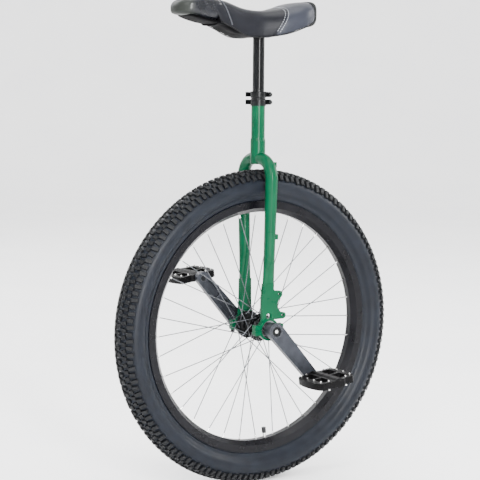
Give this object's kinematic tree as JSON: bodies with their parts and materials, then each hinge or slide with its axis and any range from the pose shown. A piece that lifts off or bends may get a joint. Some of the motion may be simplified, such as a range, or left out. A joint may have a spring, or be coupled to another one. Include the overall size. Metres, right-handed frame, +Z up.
{
  "type": "unicycle",
  "caption": "Off-road unicycle with a knobbly tyre, spoked wheel, bent tubular frame, cranks, flat pedals and a long curved saddle on a clamped post.",
  "frame": {"origin": "on the ground where the tyre touches it, midway between the legs", "axes": "+X forwards, +Y to the rider's left along the axle, +Z up along the seat post"},
  "size_m": [0.74, 0.394, 1.1315],
  "materials": {
    "green_powder_coat": "gloss green powder coat on aluminium",
    "bolt_steel": "machined and blackened steel",
    "bearing_steel": "ground bearing steel",
    "black_anodised": "black anodised",
    "bush_nylon": "moulded nylon",
    "tyre_rubber": "moulded black rubber",
    "tube_rubber": "butyl",
    "valve_brass": "nickel-plated brass",
    "cap_plastic": "moulded",
    "black_rim": "black anodised, satin",
    "tape_plastic": "woven tape",
    "spoke_steel": "drawn stainless steel",
    "nipple_nickel": "nickel plated",
    "crank_grey": "graphite anodised",
    "ring_polished": "polished",
    "pedal_black": "black, satin",
    "pin_steel": "plated steel",
    "post_black": "gloss black",
    "base_plastic": "moulded",
    "foam": "open-cell foam",
    "vinyl": "smooth vinyl with white stitching",
    "handle_plastic": "moulded, satin",
    "bumper_plastic": "moulded, satin"
  },
  "bodies": {
    "frame": {"frame_neck": "green_powder_coat", "frame_leg_left": "green_powder_coat", "frame_leg_right": "green_powder_coat", "brake_mount": "green_powder_coat", "dropout_right": "green_powder_coat", "bearing_housing_left": "green_powder_coat", "bearing_housing_right": "green_powder_coat", "bearing_caps": "green_powder_coat", "bearing_cap_bolts": "bolt_steel", "hose_guides": "green_powder_coat", "bearing_outer_races": "bearing_steel", "clamp_collar": "black_anodised", "clamp_skewers": "bolt_steel", "cam_pins": "bolt_steel", "cam_washers": "bush_nylon", "clamp_nuts": "black_anodised"},
    "wheel": {"tyre": "tyre_rubber", "inner_tube": "tube_rubber", "valve_stem": "valve_brass", "valve_cap": "cap_plastic", "rim": "black_rim", "rim_tape": "tape_plastic", "spokes_left": "spoke_steel", "spokes_right": "spoke_steel", "spoke_nipples": "nipple_nickel", "hub_shell": "black_anodised", "disc_carrier": "black_anodised", "axle": "bolt_steel", "bearing_inner_races": "bearing_steel", "bearing_balls": "bearing_steel", "bearing_spacers": "bolt_steel", "crank_left": "crank_grey", "crank_right": "crank_grey", "crank_bolts": "bolt_steel", "crank_rings": "ring_polished", "pedal_spindle_left": "bolt_steel", "pedal_spindle_right": "bolt_steel", "pedal_lock_nuts": "bolt_steel"},
    "pedal_left": {"pedal_body_left": "pedal_black", "pedal_bushes_left": "bush_nylon", "pedal_pins_left": "pin_steel"},
    "pedal_right": {"pedal_body_right": "pedal_black", "pedal_bushes_right": "bush_nylon", "pedal_pins_right": "pin_steel"},
    "saddle": {"seat_post": "post_black", "seat_post_plate": "post_black", "saddle_base": "base_plastic", "saddle_foam": "foam", "saddle_cover": "vinyl", "saddle_bolts": "bolt_steel", "front_handle": "handle_plastic", "rear_bumper": "bumper_plastic"},
    "lever_upper": {"qr_lever_upper": "black_anodised"},
    "lever_lower": {"qr_lever_lower": "black_anodised"}
  },
  "joints": [
    {"name": "wheel_spin", "type": "hinge", "parent": "frame", "child": "wheel", "pos_m": [0, 0, 0.37], "axis": [0, 1, 0], "continuous": true},
    {"name": "pedal_left_spin", "type": "hinge", "parent": "wheel", "child": "pedal_left", "pos_m": [-0.10037, 0.1, 0.25853], "axis": [0, 1, 0], "continuous": true},
    {"name": "pedal_right_spin", "type": "hinge", "parent": "wheel", "child": "pedal_right", "pos_m": [0.10037, -0.1, 0.48147], "axis": [0, 1, 0], "continuous": true},
    {"name": "saddle_height", "type": "slide", "parent": "frame", "child": "saddle", "axis": [0, 0, 1], "range_m": [-0.035, 0.06]},
    {"name": "lever_upper_turn", "type": "hinge", "parent": "frame", "child": "lever_upper", "pos_m": [-0.024, -0.018, 0.9125], "axis": [0, 0, -1], "range_deg": [0, 150]},
    {"name": "lever_lower_turn", "type": "hinge", "parent": "frame", "child": "lever_lower", "pos_m": [-0.024, -0.018, 0.8948], "axis": [0, 0, -1], "range_deg": [0, 150]}
  ]
}
